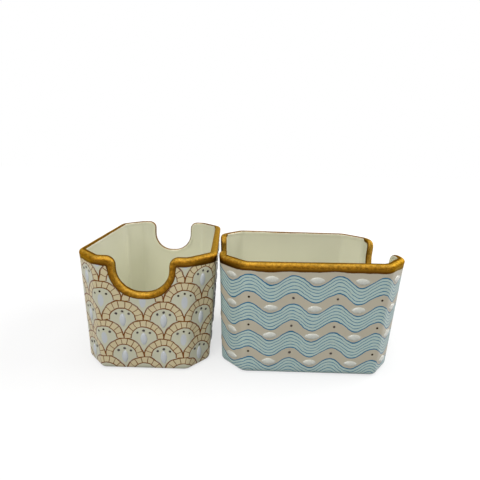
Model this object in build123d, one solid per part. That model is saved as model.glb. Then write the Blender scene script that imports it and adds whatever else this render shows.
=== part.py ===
from build123d import *
import math
import os

# Two matching ceramic holders for sugar packets, standing side by side. Millimetres, +Z up.
# The origin lies on the table, under the middle of the box round the pair. +X runs along the row.
# Each holder is first built about its own middle, with its long sides along X.

# Overall form of one holder
rim_length = 102.0  # over the bead of the rim, the long way
rim_width = 76.0  # over the bead of the rim, the short way
height = 65.0  # from the table to the top of the bead
side_lean = 3.0  # how far a wall leans out between the table and the rim line
wall = 3.2
floor_thickness = 4.0
foot_recess = 1.0  # hollow under the floor, inside the foot ring
foot_width = 6.0  # breadth of the foot ring

# Bead of the rim, a round roll that caps the wall
bead_outside = 0.3  # how far it stands out from the wall's outer face
bead_inside = 0.3  # how far it stands in from the wall's inner face

# Corners, as drawn at the table
corner_cut = 11.4  # each corner is cut off this far along both sides
corner_round = 4.5
inner_corner_round = 3.0  # as drawn at the floor
foot_round = 2.4
floor_round = 2.0

# Finger notch in each end, cut by hand and deeper in the end at +X
notch_depth = 19.5  # from the top of the rim to the bead at the bottom of the notch, in the end at -X
far_notch_depth = 22.4  # the same in the end at +X
notch_round = 13.0  # lower corners of the notch, at the bead's surface
shoulder_flat = 2.7  # straight rim between a corner's bend and the notch's bend
shoulder_round = 1.0  # bend of the wall's edge at the top of the notch, under the bead
least_flat = 0.6  # straight length kept between two bends

# The pair on the table
set_gap = 1.0  # between the two rims

# Raised white enamel grains and dark enamel dots, drops with a flat underside
grain_length = 7.6
grain_width = 3.6
grain_height = 0.6
dot_diameter = 1.5
dot_height = 0.3
drop_margin = 0.4  # clear flat wall kept round a drop

# Columns of the decoration, counted from the middle of one cut corner to the next
side_columns = 4
end_columns = 3

# Scale pattern of the coral holder
scale_row_pitch = 11.0
scale_first_row = 8.0
scale_dot_reach = 5.0  # from the middle of a grain to each of the three dots over it
scale_dot_fan = 42.0  # degrees between two of the dots

# Wave pattern of the blue holder
wave_band_pitch = 16.0
wave_first_band = 10.5
wave_height = 3.0  # from the middle line of a band to its crest

# Derived sizes
bead_diameter = wall + bead_outside + bead_inside
bead_radius = bead_diameter / 2
rim_line = height - bead_radius  # height of the bead's centre line
floor_top = foot_recess + floor_thickness
lean_angle = math.degrees(math.atan(side_lean / rim_line))
table_half_length = rim_length / 2 - bead_outside - side_lean
table_half_width = rim_width / 2 - bead_outside - side_lean
bend_tangent = math.tan(math.radians(45 / 2))  # tangent length of a corner bend of radius 1
half_round_columns = side_columns + end_columns
column_count = 2 * half_round_columns


def lean(z):
    """How far the outer wall stands out at height z, from where it stands at the table."""
    return side_lean * z / rim_line


def plan_sizes(growth):
    """Half length, half width and corner cut of the outline at the table, grown all round."""
    cut = corner_cut + (2 - math.sqrt(2)) * growth
    return table_half_length + growth, table_half_width + growth, cut


def outline(growth, rounding):
    """Eight-sided outline with rounded corners."""
    x, y, cut = plan_sizes(growth)
    right = [(x, y - cut), (x - cut, y)]
    back = right + [(-px, py) for px, py in reversed(right)]
    plan = Polygon(*back, *[(-px, -py) for px, py in back], align=None)
    return fillet(plan.vertices(), rounding)


def leaning_solid(low, high, growth, rounding):
    """Solid that leans out with the walls, from height low to height high."""
    plan = Pos(0, 0, low) * outline(lean(low) + growth, rounding)
    return extrude(plan, amount=high - low, taper=-lean_angle)


# Centre line of the bead, and the leaning plane of the end at +X that it lies in there
bead_growth = side_lean + bead_outside - bead_radius
bead_bend = corner_round + bead_growth
bead_half_length, bead_half_width, bead_cut = plan_sizes(bead_growth)
shoulder_bend = bead_radius + shoulder_round
shoulder = bead_bend * bend_tangent + shoulder_flat + shoulder_bend
notch_half_width = bead_half_width - bead_cut - shoulder
end_plane = Plane(
    origin=(bead_half_length, 0, rim_line),
    x_dir=(0, 1, 0),
    z_dir=Vector(1, 0, 0).rotate(Axis.Y, lean_angle),
)


def lower_bend(depth):
    """Bend of the bead's centre line in the lower corners of a notch of that depth."""
    return min(
        notch_round + bead_radius,
        notch_half_width - least_flat,
        depth - shoulder_bend - least_flat,
    )


def half_rim(depth):
    """Half of the rim's bead, round the end at +X and through a notch of that depth."""
    w = notch_half_width
    notch = [end_plane.from_local_coords(p) for p in ((-w, 0), (-w, -depth), (w, -depth), (w, 0))]
    x, y, cut = bead_half_length, bead_half_width, bead_cut
    points = [
        Vector(0, -y, rim_line),
        Vector(x - cut, -y, rim_line),
        Vector(x, cut - y, rim_line),
        *notch,
        Vector(x, y - cut, rim_line),
        Vector(x - cut, y, rim_line),
        Vector(0, y, rim_line),
    ]
    bends = [bead_bend, bead_bend, shoulder_bend, lower_bend(depth)]
    path = FilletPolyline(*points, radius=bends + bends[::-1])
    section = Plane(origin=points[0], z_dir=(1, 0, 0)) * Circle(bead_radius)
    return sweep(section, path=path)


def notch_cut(depth):
    """What a notch of that depth takes out of the wall at +X: all that lies above the bead's centre line."""
    w, bend = notch_half_width, lower_bend(depth)
    side = w + shoulder_bend + shoulder_flat / 2
    line = FilletPolyline(
        (-side, 0),
        (-w, 0),
        (-w, -depth),
        (w, -depth),
        (w, 0),
        (side, 0),
        radius=[shoulder_bend, bend, bend, shoulder_bend],
    )
    plan = make_face(line + Polyline((side, 0), (side, bead_radius), (-side, bead_radius), (-side, 0)))
    return extrude(end_plane * plan, amount=bead_diameter, both=True)


def both_ends(shape_at):
    """What a notch of each end's own depth makes of that end, for the end at +X and the one at -X."""
    return shape_at(far_notch_depth) + mirror(shape_at(notch_depth), about=Plane.YZ)


def ceramic_body(rim):
    """Shell of walls, floor and foot ring, with the bead's seat along its upper edge."""
    outside = leaning_solid(0, rim_line, 0, corner_round)
    outside = fillet(outside.edges().group_by(Axis.Z)[0], foot_round)
    inside = leaning_solid(floor_top, height, -wall, inner_corner_round)
    inside = fillet(inside.edges().group_by(Axis.Z)[0], floor_round)
    recess = extrude(outline(-foot_width, corner_round), amount=foot_recess)
    return outside - inside - recess - both_ends(notch_cut) - rim


def enamel_grain():
    """Long drop along X: a spindle that lies under the wall's face, down to that face."""
    hump_radius = (grain_width**2 / 4 + grain_height**2) / (2 * grain_height)
    spindle_axis = Axis((0, 0, grain_height - hump_radius), (1, 0, 0))
    back = ThreePointArc((-grain_length / 2, 0), (0, grain_height), (grain_length / 2, 0))
    side = Plane.XZ * make_face(back + Line(back @ 1, back @ 0))
    above = Pos(0, 0, grain_height) * Box(2 * grain_length, 2 * grain_length, 2 * grain_height)
    return revolve(side, axis=spindle_axis) & above


def enamel_dot():
    """Round drop: a cap of a ball."""
    radius = dot_diameter / 2
    ball_radius = (radius**2 + dot_height**2) / (2 * dot_height)
    cap = RadiusArc((0, dot_height), (radius, 0), ball_radius)
    side = make_face(cap + Polyline((radius, 0), (0, 0), (0, dot_height)))
    return revolve(Plane.XZ * side, axis=Axis.Z)


def wall_spot(column, z, shift):
    """Plane on the outer wall, moved along the facet by shift, and the flat wall beside it."""
    x, y, cut = plan_sizes(lean(z))
    half_side, half_end, half_corner = x - cut, y - cut, cut / math.sqrt(2)
    turn = column % column_count
    half_turn = turn % half_round_columns
    near = min(half_turn, half_round_columns - half_turn) - side_columns / 2
    if near < 0:
        run = near * (half_side + half_corner) / (side_columns / 2)
    else:
        run = near * (half_end + half_corner) / (end_columns / 2)
    if abs(run) < half_corner:
        middle, normal, half = Vector(x - cut / 2, cut / 2 - y), Vector(1, -1).normalized(), half_corner
    elif run < 0:
        middle, normal, half = Vector(0, -y), Vector(0, -1), half_side
        run += half_side + half_corner
    else:
        middle, normal, half = Vector(x, 0), Vector(1, 0), half_end
        run -= half_end + half_corner
    spot = middle + normal.rotate(Axis.Z, 90) * (run + shift)
    flip_x = -1 if turn > half_round_columns else 1
    flip_y = -1 if half_round_columns / 2 < turn < 1.5 * half_round_columns else 1
    normal = Vector(normal.X * flip_x, normal.Y * flip_y)
    level = normal.rotate(Axis.Z, 90)
    plane = Plane(
        origin=(spot.X * flip_x, spot.Y * flip_y, z),
        x_dir=level,
        z_dir=normal.rotate(Axis((0, 0, 0), level), lean_angle),
    )
    bend = (corner_round + lean(z)) * bend_tangent
    return plane, half - abs(run + shift) - bend


def drops(shape, places):
    """Copies of a drop, at those places where the flat wall has room for it."""
    box = shape.bounding_box()
    half_across, half_tall = box.size.X / 2 + drop_margin, box.size.Y / 2 + drop_margin
    notch_side = notch_half_width + bead_radius
    copies = []
    for column, z, shift in places:
        plane, room = wall_spot(column, z, shift)
        on_end = abs(plane.z_dir.X) > abs(plane.z_dir.Y)
        depth = far_notch_depth if plane.origin.X > 0 else notch_depth
        notch_low = rim_line - depth - bead_radius
        in_notch = abs(plane.origin.Y) - half_across < notch_side and z + half_tall > notch_low
        on_wall = z - half_tall > foot_round and z + half_tall < rim_line - bead_radius
        if room > half_across and on_wall and not (on_end and in_notch):
            copies.append(plane * shape)
    return Compound(children=copies)


def rows(first, pitch):
    """Heights of the rows of decoration, up to the rim."""
    return [first + pitch * i for i in range(math.ceil((rim_line - first) / pitch))]


def scale_decor():
    """An upright grain in the middle of each staggered scale, and a fan of three dots over it."""
    grains = []
    for i, z in enumerate(rows(scale_first_row, scale_row_pitch)):
        grains += [(column + (i % 2) / 2, z, 0) for column in range(column_count)]
    fan = [Vector(0, scale_dot_reach).rotate(Axis.Z, turn * scale_dot_fan) for turn in (-1, 0, 1)]
    dots = [(column, z + dot.Y, dot.X) for column, z, _ in grains for dot in fan]
    return drops(Rot(0, 0, 90) * enamel_grain(), grains), drops(enamel_dot(), dots)


def wave_decor():
    """A level grain in each trough of the waves and a dot in each crest."""
    grains, dots = [], []
    for z in rows(wave_first_band, wave_band_pitch):
        grains += [(column, z - wave_height, 0) for column in range(column_count)]
        dots += [(column + 0.5, z + wave_height, 0) for column in range(column_count)]
    return drops(enamel_grain(), grains), drops(enamel_dot(), dots)


# The coral holder stands at the left with an end to the front, the blue one at the right with a
# long side to the front, and their fronts are in line.
set_length = rim_width + set_gap + rim_length
coral_place = Pos((rim_width - set_length) / 2, 0) * Rot(0, 0, 90)
blue_place = Pos((set_length - rim_length) / 2, (rim_width - rim_length) / 2)
holders = {"coral": (coral_place, scale_decor()), "blue": (blue_place, wave_decor())}

rim = both_ends(half_rim)
body = ceramic_body(rim)
os.makedirs("parts", exist_ok=True)
for holder, (place, (grains, dots)) in holders.items():
    pieces = {"body": body, "gilt_rim": rim, "white_enamel": grains, "dark_dots": dots}
    for piece, shape in pieces.items():
        export_step(place * shape, f"parts/{holder}_{piece}.step")
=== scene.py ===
import math

import bpy
from bpy.props import FloatProperty, FloatVectorProperty, IntProperty, PointerProperty
from mathutils import Matrix, Vector, kdtree, noise


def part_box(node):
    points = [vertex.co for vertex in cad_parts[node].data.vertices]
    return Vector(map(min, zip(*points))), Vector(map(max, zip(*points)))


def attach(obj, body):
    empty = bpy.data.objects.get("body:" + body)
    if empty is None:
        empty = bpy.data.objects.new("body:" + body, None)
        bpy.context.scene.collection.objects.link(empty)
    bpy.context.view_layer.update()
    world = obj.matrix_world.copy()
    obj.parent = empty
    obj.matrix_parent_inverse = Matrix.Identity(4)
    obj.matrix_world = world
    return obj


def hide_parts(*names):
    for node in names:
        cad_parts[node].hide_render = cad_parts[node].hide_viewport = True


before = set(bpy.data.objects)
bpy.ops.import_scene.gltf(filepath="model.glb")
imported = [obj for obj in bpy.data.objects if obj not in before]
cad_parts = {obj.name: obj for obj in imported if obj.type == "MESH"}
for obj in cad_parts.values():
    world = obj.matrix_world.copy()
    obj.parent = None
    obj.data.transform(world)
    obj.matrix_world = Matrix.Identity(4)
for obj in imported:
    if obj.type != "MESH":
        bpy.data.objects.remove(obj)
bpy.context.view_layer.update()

bl_info = {
    "name": "Pair of sugar packet holders",
    "version": (1, 0, 0),
    "blender": (4, 5, 0),
    "location": "View3D > Sidebar > Holders",
    "description": "Dresses two eight-sided ceramic holders with glaze, paint, enamel and a gilt rim",
    "category": "Object",
}

HOLDERS = ("coral", "blue")
FACETS = 8
TURN = math.tau / FACETS
BEND_TANGENT = math.tan(TURN / 2)
FRONT_ANGLE = -math.pi / 2  # way that the first facet, a long side, faces
END_FACETS = (2, 6)
ZONES = ("wall", "inside", "foot")

# Mesh of a shell: its columns on each run of the rim, and its rings
SIDE_STEPS, CORNER_STEPS, BEND_STEPS = 26, 6, 7
SHOULDER_STEPS, NOTCH_STEPS = 8, 20
FLAT_SHARE = 0.97  # of a flat, taken up by its even columns
WALL_RINGS, INSIDE_RINGS, ROUND_RINGS = 40, 36, 6
CROWDING = 1.8  # power by which the rings crowd towards the rim
FLOOR_SHARES = (0.8, 0.5, 0.2)  # of the floor's breadth, where its rings lie
FOOT_SLOPE = ((0.0003, 0.4), (0.0007, 0.0))  # how far the hollow widens, at shares of its depth
BARE_TURN = 1.4  # slope of the lower edge, past which it is left bare
SWELL_REACH = 0.01  # how far below the bead the wall thickens towards it
SWELL_FILL = 0.97  # share of the bead's radius that it thickens to
STILL_FOOT = 0.002  # height up to which the wall doesn't wander
WANDER_FADE = 0.006  # further run over which the wandering sets in, there and below the bead
WANDER_SCALE = (42, 42, 30)  # of the wandering, to the metre
RIM_PARTS = 4  # points that a step of the rim line is measured from
FAR_OFF = 9.0  # stands for any distance from the bead that no gold reaches
BEAD_STEP, BEAD_SIDES = 0.0008, 24

# Run of the blue rim's sag, in facets past the front: where it starts, is full, eases off and ends
SAG_RUN = (-2.0, -1.5, -0.5, 0.7)

# Gold lapped over to the bead's inner side: by how many degrees of its section, over how many facets it
# sets in, and where, as the middle and half the length of each run, in facets
GOLD_LAP = 50
LAP_FADE = 0.15
LAPPED_RUNS = {"coral": ((0, 0.5),), "blue": ((2.14, 0.2), (6, 0.5))}
GOLD_EDGE = (0.9, 0.72, 0.4, 1)  # tint of what the lustre mirrors at a glance

# Painting: sway and tremor of the hand, as (columns across, metres up)
HAND_SWAY = (0.085, 0.0017)
HAND_TREMOR = (0.02, 0.0004)
LINE_BLUR = 0.00009  # half the width of a painted line's soft edge
COLUMN_WIDTH = 0.022  # of the decoration, taken as the same all round
SCALE_RIBS = 9
SCALE_ARCH = 0.64  # inner radius of a scale's ribbed arch, in outer ones
FLAT_DOT = 0.42  # radius of a painted dot, in diameters of a raised one
FOOT_PAINTED_SHADE = (0.0002, 0.0034)  # heights between which the painted shade at the foot fades out

# Drops: how they sit, their outline, their facets and how far one may differ from the next
GRAIN_MAKE = {"Seat": 0.0004, "Taper": 0.3, "Segments": 16, "Rings": 8, "Difference": 0.09, "Twist": 0.1}
DOT_MAKE = {"Seat": 0.0002, "Taper": 0.0, "Segments": 10, "Rings": 5, "Difference": 0.14, "Twist": 1.5}
GRAIN_DULLNESS = {"coral": 0.4, "blue": 0.2}  # least roughness of the enamel
DOT_DULLNESS = 0.3
GRAIN_TONES, DOT_TONES = (0.94, 1.03), (0.75, 1.25)  # darkest and lightest shade of the enamel's colour
DOT_SEED_STEP = 20  # between the seeds of the grains and the dots
SHELL_SEED_STEP = 3.7  # between the wandering of two shells

# Stage
FLOOR_REACH, FLOOR_DROP = 3.0, 0.0001
FLOOR_PAINT = (0.3, 0.3, 0.3, 1)
FLOOR_GLOW = (0.66, 0.96)  # as the eye sees it, near and far
FLOOR_FADE = (0.1, 0.6)  # distances between which the glow rises
LAMP_SIZE = 0.8
LAMP_AIM = Vector((0.0, -0.01, 0.035))
LAMPS = {"top": (-0.1, -0.1, 0.9), "key": (-0.3, -0.82, 0.74), "fill": (0.84, 0.2, 0.64)}
SENSOR_WIDTH = 36.0

rim_low, rim_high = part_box("blue_gilt_rim")
rim_span = rim_high - rim_low


def tone(red, green, blue):
    """Linear colour of a display colour given in steps of 255."""
    steps = (c / 255 for c in (red, green, blue))
    return tuple(c / 12.92 if c <= 0.04045 else ((c + 0.055) / 1.055) ** 2.4 for c in steps)


def number(name, description, default, **options):
    return FloatProperty(name=name, description=description, default=default, **options)


def length(name, description, default):
    return number(name, description, default, unit="LENGTH", precision=5)


def share(name, description, default):
    return number(name, description, default, subtype="FACTOR", min=0, max=1)


def count(name, description, default):
    return IntProperty(name=name, description=description, default=default, min=1)


def colour(name, description, default):
    return FloatVectorProperty(
        name=name, description=description, default=default, subtype="COLOR", size=3, min=0, max=1
    )


class HolderForm(bpy.types.PropertyGroup):
    """Sizes of one holder."""

    rim_length: length("Rim length", "Over the bead of the rim, the long way", rim_span.x)
    rim_width: length("Rim width", "Over the bead of the rim, the short way", rim_span.y)
    height: length("Height", "From the table to the top of the bead", rim_high.z)
    side_lean: length("Lean", "How far a wall leans out between the table and the rim line", 0.003)
    wall: length("Wall", "Thickness of the walls", 0.0032)
    floor_top: length("Floor", "Height of the inside floor", 0.005)
    foot_recess: length("Foot recess", "Depth of the hollow under the floor", 0.001)
    foot_width: length("Foot width", "Breadth of the foot ring", 0.006)
    foot_round: length("Foot rounding", "Rounding of the lower outer edge", 0.0024)
    floor_round: length("Floor rounding", "Rounding where the floor meets the walls", 0.0032)
    bead_outside: length("Bead outside", "How far the bead stands out from the wall", 0.0003)
    bead_inside: length("Bead inside", "How far the bead stands in from the wall", 0.0003)
    corner_cut: length("Corner cut", "How far each corner is cut off along both sides", 0.0114)
    corner_round: length("Corner rounding", "Rounding of the eight upright edges outside", 0.0045)
    inner_corner_round: length("Inner rounding", "Rounding of the eight upright edges inside", 0.005)
    notch_depth: length("Notch depth", "From the top of the rim to the bead in the notch at -X", 0.0195)
    far_notch_depth: length("Far notch depth", "The same in the notch at +X", 0.0224)
    notch_round: length("Notch rounding", "Lower corners of the notch, at the bead", 0.013)
    shoulder_flat: length("Shoulder", "Straight rim between a corner and the notch", 0.0027)
    shoulder_round: length("Shoulder rounding", "Bend of the wall's edge at the top of the notch", 0.001)
    front_sag: length("Front sag", "How far the blue holder's front rim sank at its left end", 0.00105)
    hand_wander: length("Hand wander", "How far the walls wander from flat", 0.00014)
    bead_wander: share("Bead wander", "How much the bead's thickness varies", 0.05)
    bead_square: share("Bead squareness", "How far the bead's inner shoulder is pushed out", 0.28)


class HolderDecor(bpy.types.PropertyGroup):
    """Layout of the painted and raised decoration."""

    side_columns: count("Side columns", "Columns of decoration over a long side", 4)
    end_columns: count("End columns", "Columns of decoration over an end", 3)
    scale_pitch: length("Scale pitch", "Height of a row of scales", 0.011)
    scale_first: length("First scale row", "Height of the lowest row of grains", 0.008)
    scale_dot_reach: length("Dot reach", "From the middle of a grain to each dot over it", 0.005)
    scale_dot_fan: number(
        "Dot fan", "Angle between two dots over a grain", math.radians(42), subtype="ANGLE"
    )
    wave_pitch: length("Wave pitch", "Height of a wave band and the ribbon above it", 0.016)
    wave_first: length("First wave band", "Height of the lowest band's middle line", 0.0105)
    wave_height: length("Wave height", "From the middle line of a band to its crest", 0.003)
    wave_band: share("Wave band", "Share of the pitch that is plain ground", 0.42)
    ribbon_lines: count("Ribbon lines", "Spaces between the fine lines of a ribbon", 5)
    grain_length: length("Grain length", "Length of a raised white grain", 0.0076)
    grain_width: length("Grain width", "Width of a raised white grain", 0.0036)
    grain_height: length("Grain height", "How far a grain stands out", 0.0006)
    dot_diameter: length("Dot", "Diameter of a raised dark dot", 0.0015)
    dot_height: length("Dot height", "How far a dot stands out", 0.0003)
    drop_margin: length("Drop margin", "Clear wall kept round a drop", 0.0004)
    line_width: length("Line width", "Half the width of a painted outline", 0.00036)
    hair_width: length("Hair line width", "Half the width of a fine painted line", 0.0002)
    gold_reach: length("Gold reach", "How far the gold is brushed down the wall off the bead", 0.0026)
    notch_gold_reach: length("Notch gold reach", "The same inside a notch", 0.0012)
    gold_sway: share("Gold sway", "Share of its reach by which the lower edge of the gold wanders", 0.6)
    seed: count("Seed", "Start of the small differences between drops", 7)


class HolderColours(bpy.types.PropertyGroup):
    """Colours of the glazes, paints and lustre."""

    coral_ground: colour("Coral ground", "Ground of the coral holder", tone(211, 210, 186))
    coral_wash: colour("Tan wash", "Fill of the scales", tone(221, 203, 159))
    coral_line: colour("Coral line", "Painted lines of the coral holder", tone(122, 68, 16))
    blue_ground: colour("Beige ground", "Ground of the blue holder", tone(199, 191, 171))
    blue_wash: colour("Pale blue wash", "Fill of the wave ribbons", tone(186, 211, 206))
    blue_line: colour("Blue line", "Painted lines of the blue holder", tone(34, 112, 150))
    inside: colour("Inside glaze", "Clear glaze on the cream clay inside", tone(213, 212, 189))
    bare_clay: colour("Bare clay", "Unglazed foot ring", tone(190, 178, 155))
    gold: colour("Gold", "Lustre of the rim", tone(152, 108, 28))
    # painted highlight: the lighter gold laid on the bead's upper front
    gold_painted_highlight: colour("Light gold", "Lustre where it lies thickest, near the top", tone(172, 140, 60))
    # partly thin and worn lustre, partly painted shade on the bead's underside, along its top inner edge
    # and down the gold on the wall
    gold_thin_and_painted_shade: colour("Gold shade", "Lustre where it thins out, along its edges", tone(72, 42, 6))
    cool_white: colour("Cool white", "Raised grains of the coral holder", tone(205, 209, 212))
    warm_white: colour("Warm white", "Raised grains of the blue holder", tone(211, 212, 202))
    dark_dot: colour("Dark dot", "Raised dots", tone(52, 40, 30))


class HolderStage(bpy.types.PropertyGroup):
    """Camera and light."""

    camera_place: FloatVectorProperty(
        name="Camera place", description="Where the camera stands", default=(-0.00852, -0.20818, 0.11387),
        subtype="TRANSLATION", unit="LENGTH", size=3, precision=5,
    )
    camera_tilt: number("Camera tilt", "How far the camera looks down", 0.1965, subtype="ANGLE")
    camera_roll: number("Camera roll", "How far the camera leans to its left", 0.0298, subtype="ANGLE")
    lens: number("Lens", "Focal length on a 36 mm sensor", 24.392, subtype="DISTANCE_CAMERA")
    shift_x: number("Shift across", "Sideways shift of the frame", 0.02685)
    shift_y: number("Shift up", "Upward shift of the frame", -0.02855)
    top_power: number("Top light", "Large soft light overhead", 4.4, subtype="POWER")
    key_power: number("Key light", "Soft light at the front left", 6.2, subtype="POWER")
    fill_power: number("Fill light", "Soft light at the right", 6.9, subtype="POWER")
    sky: share("Room light", "Even light from all round", 0.22)


def ease(low, high, value):
    """0 below low and 1 above high, with a smooth rise between them."""
    part = min(max((value - low) / (high - low), 0), 1)
    return part * part * (3 - 2 * part)


def spread(first, last, steps):
    """Even values from first to last."""
    return [first + (last - first) * i / steps for i in range(steps + 1)]


class HolderShape:
    """One holder about its own middle, with its long sides along X, worked out from the driving sizes."""

    def __init__(self, form, decor, sag):
        self.form = form
        self.decor = decor
        self.sag = sag
        self.bead_radius = (form.wall + form.bead_outside + form.bead_inside) / 2
        self.rim_line = form.height - self.bead_radius
        self.lean_angle = math.atan(form.side_lean / self.rim_line)
        self.half_length = form.rim_length / 2 - form.bead_outside - form.side_lean
        self.half_width = form.rim_width / 2 - form.bead_outside - form.side_lean
        self.bead_growth = form.side_lean + form.bead_outside - self.bead_radius
        self.bead_bend = form.corner_round + self.bead_growth
        _, y, cut = self.plan(self.bead_growth)
        self.shoulder_bend = self.bead_radius + form.shoulder_round
        flat_half = y - cut - self.bead_bend * BEND_TANGENT
        self.notch_half = flat_half - form.shoulder_flat - self.shoulder_bend
        self.notch_bend = form.notch_round + self.bead_radius
        sides, ends = decor.side_columns, decor.end_columns
        self.column_count = 2 * (sides + ends)
        steps = [sides / 2, ends / 2, ends / 2, sides / 2] * 2
        self.middles = [sum(steps[:k]) for k in range(FACETS + 1)]
        self.columns = self.mesh_columns()

    def lean(self, z):
        """How far the outer wall stands out at height z, from where it stands at the table."""
        return self.form.side_lean * z / self.rim_line

    def plan(self, growth):
        """Half length, half width and corner cut of the outline at the table, grown all round."""
        cut = self.form.corner_cut + (2 - math.sqrt(2)) * growth
        return self.half_length + growth, self.half_width + growth, cut

    def facet(self, k, growth):
        """Middle of a facet's line in plan, the angle it faces and half its length, corners sharp."""
        x, y, cut = self.plan(growth)
        k %= FACETS
        angle = FRONT_ANGLE + k * TURN
        facing = Vector((math.cos(angle), math.sin(angle)))
        if k % 2:
            middle = Vector((math.copysign(x - cut / 2, facing.x), math.copysign(y - cut / 2, facing.y)))
            return middle, angle, cut / math.sqrt(2)
        if k in END_FACETS:
            return facing * x, angle, y - cut
        return facing * y, angle, x - cut

    def plan_spot(self, k, run, growth, rounding):
        """Point on the rounded outline and the way it faces, at a run along it from a facet's middle."""
        middle, angle, half = self.facet(k, growth)
        tangent = rounding * BEND_TANGENT
        facing = Vector((math.cos(angle), math.sin(angle)))
        level = Vector((-facing.y, facing.x))
        if run <= half - tangent:
            return middle + level * run, facing
        turned = angle + TURN * min((run - half + tangent) / (2 * tangent), 1)
        centre = middle + level * (half - tangent) - facing * rounding
        facing = Vector((math.cos(turned), math.sin(turned)))
        return centre + facing * rounding, facing

    def notch_depth(self, k):
        """Depth of the notch in the end that facet k is."""
        return self.form.far_notch_depth if k == END_FACETS[0] else self.form.notch_depth

    def end_profile(self, k):
        """Points of the rim's centre line over an end, as (along the end, below the rim line)."""
        w, d, sb, nb = self.notch_half, self.notch_depth(k), self.shoulder_bend, self.notch_bend
        half = self.facet(2, self.bead_growth)[2] - self.bead_bend * BEND_TANGENT
        left = [(-half, 0.0), (-(half + w + sb) / 2, 0.0)]
        for a in spread(0, math.pi / 2, SHOULDER_STEPS):
            left.append((sb * math.sin(a) - w - sb, sb * math.cos(a) - sb))
        for a in spread(0, math.pi / 2, NOTCH_STEPS):
            left.append((nb - w - nb * math.cos(a), nb - d - nb * math.sin(a)))
        return left + [(0.0, -d)] + [(-s, depth) for s, depth in reversed(left)]

    def mesh_columns(self):
        """Upright lines of the mesh: facet, share of its flat or its bend, and spot on an end's rim."""
        columns = []
        for k in range(FACETS):
            if k in END_FACETS:
                profile = self.end_profile(k)
                run = [0.0]
                for a, b in zip(profile, profile[1:]):
                    run.append(run[-1] + math.dist(a, b))
                half = profile[-1][0]
                for (s, depth), r in zip(profile, run):
                    columns.append((k, (s / half + 2 * r / run[-1] - 1) / 2, (s, depth)))
            else:
                inner = spread(-FLAT_SHARE, FLAT_SHARE, CORNER_STEPS if k % 2 else SIDE_STEPS)
                columns += [(k, t, None) for t in [-1.0] + inner + [1.0]]
            columns += [(k, 1 + w, None) for w in spread(0, 1, BEND_STEPS)[1:-1]]
        return columns

    def place_in_plan(self, column, growth, rounding):
        k, t, _ = column
        half = self.facet(k, growth)[2]
        tangent = rounding * BEND_TANGENT
        run = t * (half - tangent) if t <= 1 else half - tangent + 2 * tangent * (t - 1)
        return self.plan_spot(k, run, growth, rounding)

    def ring(self, growth, rounding, z, squeeze=1.0):
        """One level ring of the mesh."""
        ring = []
        for column in self.columns:
            spot, _ = self.place_in_plan(column, growth, rounding)
            ring.append(Vector((spot.x * squeeze, spot.y * squeeze, z)))
        return ring

    def off_facet(self, column, facet):
        """How far a mesh column lies past a facet's middle, in facets, bends included."""
        k, t, _ = column  # t goes from -1 to 1 on a flat, and on to 2 in the bend after it
        return (k - facet + t / 3 + FACETS / 2) % FACETS - FACETS / 2

    def lap(self, column, runs):
        """Share of the gold's lap over the bead's inner side at a mesh column, whole along these runs."""
        return max(
            1 - ease(half, half + LAP_FADE, abs(self.off_facet(column, middle))) for middle, half in runs
        )

    def sunk(self, column):
        """How far the rim sank at a mesh column: most about the left end of the front."""
        start, full, easing, end = SAG_RUN
        off_front = self.off_facet(column, 0)
        return self.sag * ease(start, full, off_front) * (1 - ease(easing, end, off_front))

    def rim_path(self):
        """Bead's centre line: per mesh column its point, the way the wall faces and that off its edge."""
        sin, cos = math.sin(self.lean_angle), math.cos(self.lean_angle)
        path = []
        for column in self.columns:
            spot, facing = self.place_in_plan(column, self.bead_growth, self.bead_bend)
            depth = -self.sunk(column)
            if column[2]:
                s, drop = column[2]
                depth += drop
                middle, _, _ = self.facet(column[0], self.bead_growth)
                spot = middle + Vector((-facing.y, facing.x)) * s
            spot = spot + facing * depth * sin
            outward = Vector((facing.x * cos, facing.y * cos, -sin))
            path.append((Vector((spot.x, spot.y, self.rim_line + depth * cos)), outward))
        result = []
        for i, (point, outward) in enumerate(path):
            along = path[(i + 1) % len(path)][0] - path[i - 1][0]
            off_edge = outward.cross(along).normalized()
            result.append((point, outward, off_edge))
        return result

    def gold_reach(self, z):
        """How far the gold is brushed down from where the bead's centre line is at height z."""
        sunk = min((self.rim_line - z) / (3 * self.bead_radius), 1)
        return self.decor.gold_reach + (self.decor.notch_gold_reach - self.decor.gold_reach) * sunk

    def wall_spot(self, column, z, shift=0.0):
        """Point on the outer wall, the ways outward, level and up there, its facet and run along that."""
        growth = self.lean(z)
        rounding = self.form.corner_round + growth
        column %= self.column_count
        k = max(i for i in range(FACETS) if self.middles[i] <= column)
        gap = self.facet(k, growth)[2] + self.facet(k + 1, growth)[2]
        run = (column - self.middles[k]) / (self.middles[k + 1] - self.middles[k]) * gap + shift
        if run < 0:
            k -= 1
            run += self.facet(k, growth)[2] + self.facet(k + 1, growth)[2]
        half = self.facet(k, growth)[2]
        if run > half + rounding * BEND_TANGENT:
            run -= half + self.facet(k + 1, growth)[2]
            k += 1
        spot, facing = self.plan_spot(k, run, growth, rounding)
        sin, cos = math.sin(self.lean_angle), math.cos(self.lean_angle)
        outward = Vector((facing.x * cos, facing.y * cos, -sin))
        level = Vector((-facing.y, facing.x, 0))
        return Vector((spot.x, spot.y, z)), outward, level, outward.cross(level), k % FACETS, run

    def decor_column(self, mesh_column, point):
        """Column of the decoration at a point of a mesh column of the outer wall."""
        k, t, _ = mesh_column
        growth = self.lean(point.z)
        middle, angle, half = self.facet(k, growth)
        tangent = (self.form.corner_round + growth) * BEND_TANGENT
        if t <= 1:
            run = (point.x - middle.x) * -math.sin(angle) + (point.y - middle.y) * math.cos(angle)
        else:
            run = half - tangent + 2 * tangent * (t - 1)
        before = run < 0
        k_from = k - 1 if before else k
        gap = self.facet(k_from, growth)[2] + self.facet(k_from + 1, growth)[2]
        step = self.middles[k_from % FACETS + 1] - self.middles[k_from % FACETS]
        return self.middles[k] + run / gap * step


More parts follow.
